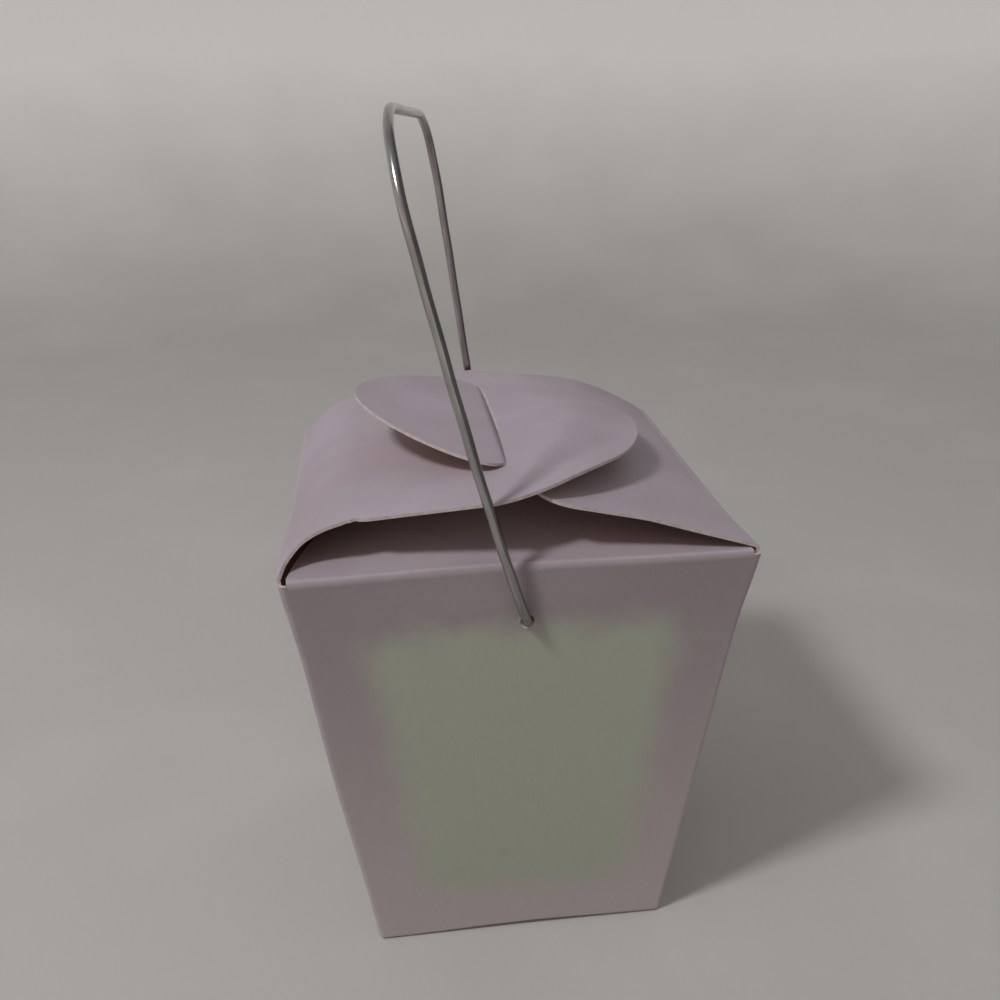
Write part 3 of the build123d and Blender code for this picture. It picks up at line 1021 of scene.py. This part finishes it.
def drawn_wire(finish):
    """Bright steel wire, drawn through a die: lengthwise streaks, patches of dull film, and painted shade at
    the feet.
    """
    material, add = new_material("steel_wire_bright_drawn")
    along = add("UVMap", output="UV", uv_map="along_wire")
    # Length and width in mm. Real draw marks are too fine to show, so the streaks are wider.
    drawn_out = (
        add("Mapping", {"Vector": along, "Scale": (per_size(run), per_size(wide), per_size(run))})
        for run, wide in ((16, 0.16), (11, 1.6))
    )
    streaks, patches = (
        add("TexNoise", {"Vector": place, "Scale": 1, "Detail": 3, "Roughness": 0.6}) for place in drawn_out
    )
    # Painted shade: the darker film colour is laid on more thickly at the feet, where the wire enters its
    # holes.
    foot = add("Attribute", output="Fac", attribute_name="foot")
    foot_shade = add("Math", {0: foot, 1: patches}, operation="MULTIPLY")
    spots = add("MapRange", {"Value": patches, "From Min": 0.4, "From Max": 0.75, "To Max": 0.6})
    film_and_foot_shade = add("Math", {0: spots, 1: foot_shade}, operation="ADD")
    lines = add("MapRange", {"Value": streaks, "From Min": 0.4, "From Max": 0.7, "To Max": 0.25})
    dulled = add("Math", {0: film_and_foot_shade, 1: lines}, operation="ADD")
    tone = {"Factor": dulled, "A": finish.steel, "B": finish.steel_film}
    drawn = {"Value": streaks, "From Min": 0.3, "From Max": 0.7, "To Min": 0.15, "To Max": 0.22}
    rough_where_dulled = {"Value": film_and_foot_shade, "To Max": 0.12}
    rough = {0: add("MapRange", drawn), 1: add("MapRange", rough_where_dulled)}
    finished = {
        "Base Color": add("Mix", tone, 2, data_type="RGBA"),
        "Metallic": 1.0,
        "Roughness": add("Math", rough, operation="ADD"),
        "Normal": add("Bump", {"Height": streaks, "Distance": 0.006 * MM}),
    }
    add("OutputMaterial", {"Surface": add("BsdfPrincipled", finished)})
    return material


def painted_cove(studio):
    """Emulsion paint put on with a roller: pale and matt with a faint stipple, paler up the surround."""
    material, add = new_material("emulsion_paint_rolled")
    where = add("TexCoord", output="Object")
    cloud = add("TexNoise", {"Vector": where, "Scale": per_size(60), "Detail": 3})
    drift = add("MapRange", {"Value": cloud, "To Min": -20 * MM, "To Max": 20 * MM})
    height = add("SeparateXYZ", {"Vector": where}, "Z")
    drifted = add("Math", {0: height, 1: drift}, operation="ADD")
    rise = add("MapRange", {"Value": drifted, "From Max": studio.cove_curve / 2})
    stipple = add("TexNoise", {"Vector": where, "Scale": per_size(2.2), "Detail": 2})
    tone = {"Factor": rise, "A": studio.cove, "B": studio.cove_wall}
    matt = {"Value": stipple, "From Min": 0.3, "From Max": 0.7, "To Min": 0.85, "To Max": 0.95}
    finished = {
        "Base Color": add("Mix", tone, 2, data_type="RGBA"),
        "Roughness": add("MapRange", matt),
        "Normal": add("Bump", {"Height": stipple, "Distance": 0.05 * MM}),
        "Specular IOR Level": 0.2,
    }
    add("OutputMaterial", {"Surface": add("BsdfPrincipled", finished)})
    return material


def flag_cloth(studio):
    """Grey woven cotton: darker than the cove, so that it leaves a dark streak in bright metal."""
    material, add = new_material("cotton_cloth_woven")
    where = add("TexCoord", output="Object")
    weave = add("TexNoise", {"Vector": where, "Scale": per_size(1.5), "Detail": 1})
    matt = {"Value": weave, "From Min": 0.3, "From Max": 0.7, "To Min": 0.9}
    finished = {"Base Color": studio.flag, "Roughness": add("MapRange", matt)}
    add("OutputMaterial", {"Surface": add("BsdfPrincipled", finished)})
    return material


# Operators


class TREATBOX_OT_fold_carton(bpy.types.Operator):
    """Fold the carton from one sheet of card"""

    bl_idname = "treatbox.fold_carton"
    bl_label = "Fold carton"

    def execute(self, context):
        settings = context.scene.treat_box
        sheet = Sheet(settings.carton, settings.closure)
        hole_radius = settings.bail.wire / 2 + settings.carton.hole_clearance
        finish = settings.finish
        piece = add_mesh(
            "carton_sheet",
            carton_patches(sheet, hole_radius),
            [printed_card(finish), inner_board(finish), cut_edge(finish)],
        )
        points = mesh_points(piece.data)
        set_values(piece.data, "fold_wear_and_lip_highlight", fold_wear_and_lip_highlight(sheet, points))
        set_values(piece.data, "front_wall", front_wall(sheet, points))
        set_values(piece.data, "sage_field", sage_field(sheet, settings.field, points))
        piece.data.vertices.foreach_set("co", slack(points).astype(np.float32).ravel())
        thick = piece.modifiers.new("card", "SOLIDIFY")
        thick.thickness = settings.carton.card
        thick.offset = 0
        thick.use_even_offset = True
        thick.material_offset = 1
        thick.material_offset_rim = 2
        solid = piece.evaluated_get(context.evaluated_depsgraph_get())
        mesh = bpy.data.meshes.new_from_object(solid)
        piece.modifiers.clear()
        piece.data = mesh
        mesh.set_sharp_from_angle(angle=SHARP_EDGE)
        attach(piece, "carton")
        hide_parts("carton")
        return {"FINISHED"}


class TREATBOX_OT_bend_bail(bpy.types.Operator):
    """Bend the wire bail"""

    bl_idname = "treatbox.bend_bail"
    bl_label = "Bend bail"

    def execute(self, context):
        settings = context.scene.treat_box
        bail = settings.bail
        path, run = bail_path(Sheet(settings.carton, settings.closure), bail)
        grid, uv = round_wire(path, run, bail.wire)
        faces = grid_faces(*grid.shape[:2])
        piece = add_mesh("wire_bail", [(grid, faces)], [drawn_wire(settings.finish)], uv)
        points = mesh_points(piece.data)
        # Marks where painted shade darkens the wire near its holes.
        from_hole = np.linalg.norm(points[:, [0, 2]] - np.array(PIVOT)[[0, 2]], axis=1)
        set_values(piece.data, "foot", np.exp(-((from_hole / (3 * bail.wire)) ** 2)))
        piece.data.set_sharp_from_angle(angle=SHARP_EDGE)
        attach(piece, "handle")
        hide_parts("wire_handle")
        return {"FINISHED"}


class TREATBOX_OT_set_stage(bpy.types.Operator):
    """Set the cove, the lights and the camera"""

    bl_idname = "treatbox.set_stage"
    bl_label = "Set stage"

    def execute(self, context):
        studio = context.scene.treat_box.studio
        scene = context.scene
        grid = round_cove(studio)
        add_mesh("cove", [(grid, grid_faces(*grid.shape[:2]))], [painted_cove(studio)])

        y = np.array([-studio.flag_front, studio.flag_back])[:, None]
        z = np.array([0, studio.flag_height])
        cloth = np.stack(np.broadcast_arrays(studio.flag_out, y, z), axis=-1)
        flag = add_mesh("flag", [(cloth, grid_faces(2, 2))], [flag_cloth(studio)])
        flag.visible_camera = flag.visible_diffuse = flag.visible_shadow = False

        world = bpy.data.worlds.new("studio_sky")
        world.use_nodes = True
        sky = world.node_tree.nodes["Background"]
        sky.inputs["Color"].default_value = studio.sky
        sky.inputs["Strength"].default_value = studio.sky_strength
        scene.world = world

        lamp = bpy.data.lights.new("key", "AREA")
        lamp.shape = "DISK"
        lamp.size = studio.key_size
        lamp.energy = studio.key_power
        key = bpy.data.objects.new("key", lamp)
        toward = Vector((-studio.key_left, -studio.key_front, 1)).normalized()
        key.location = Vector((0, 0, studio.key_aim)) + toward * studio.key_distance
        key.rotation_euler = toward.to_track_quat("Z", "Y").to_euler()
        scene.collection.objects.link(key)

        yaw, pitch, roll = studio.camera_yaw, studio.camera_pitch, studio.camera_roll
        forward = Vector((sin(yaw) * cos(pitch), cos(yaw) * cos(pitch), -sin(pitch)))
        right = Vector((cos(yaw), -sin(yaw), 0))
        above = right.cross(forward)
        turned_right = cos(roll) * right + sin(roll) * above
        turned_up = -sin(roll) * right + cos(roll) * above
        data = bpy.data.cameras.new("camera")
        data.sensor_width = 36
        data.lens = studio.lens
        data.clip_start = 0.01
        camera = bpy.data.objects.new("camera", data)
        facing = Matrix((turned_right, turned_up, -forward)).transposed().to_4x4()
        camera.matrix_world = Matrix.Translation(studio.camera_place) @ facing
        scene.collection.objects.link(camera)
        scene.camera = camera
        scene.view_settings.view_transform = "Standard"
        return {"FINISHED"}


class TREATBOX_PT_sidebar(bpy.types.Panel):
    """The treat box's settings and steps"""

    bl_label = "Treat box"
    bl_idname = "TREATBOX_PT_sidebar"
    bl_space_type = "VIEW_3D"
    bl_region_type = "UI"
    bl_category = "Treat box"

    def draw(self, context):
        for step in OPERATORS:
            self.layout.operator(step.bl_idname)
        settings = context.scene.treat_box
        for group in settings.bl_rna.properties:
            if group.type == "POINTER" and group.identifier != "rna_type":
                box = self.layout.box()
                values = getattr(settings, group.identifier)
                for value in values.bl_rna.properties:
                    if not value.is_readonly and value.identifier != "name":
                        box.prop(values, value.identifier)


GROUPS = (
    TREATBOX_PG_carton,
    TREATBOX_PG_closure,
    TREATBOX_PG_bail,
    TREATBOX_PG_print,
    TREATBOX_PG_finish,
    TREATBOX_PG_studio,
    TREATBOX_PG_settings,
)
OPERATORS = (TREATBOX_OT_fold_carton, TREATBOX_OT_bend_bail, TREATBOX_OT_set_stage)
CLASSES = (*GROUPS, *OPERATORS, TREATBOX_PT_sidebar)


def register():
    for cls in CLASSES:
        bpy.utils.register_class(cls)
    bpy.types.Scene.treat_box = PointerProperty(type=TREATBOX_PG_settings)


def unregister():
    del bpy.types.Scene.treat_box
    for cls in reversed(CLASSES):
        bpy.utils.unregister_class(cls)


def main():
    register()
    bpy.ops.treatbox.fold_carton()
    bpy.ops.treatbox.bend_bail()
    bpy.ops.treatbox.set_stage()
    bpy.context.view_layer.update()


if __name__ == "__main__":
    main()
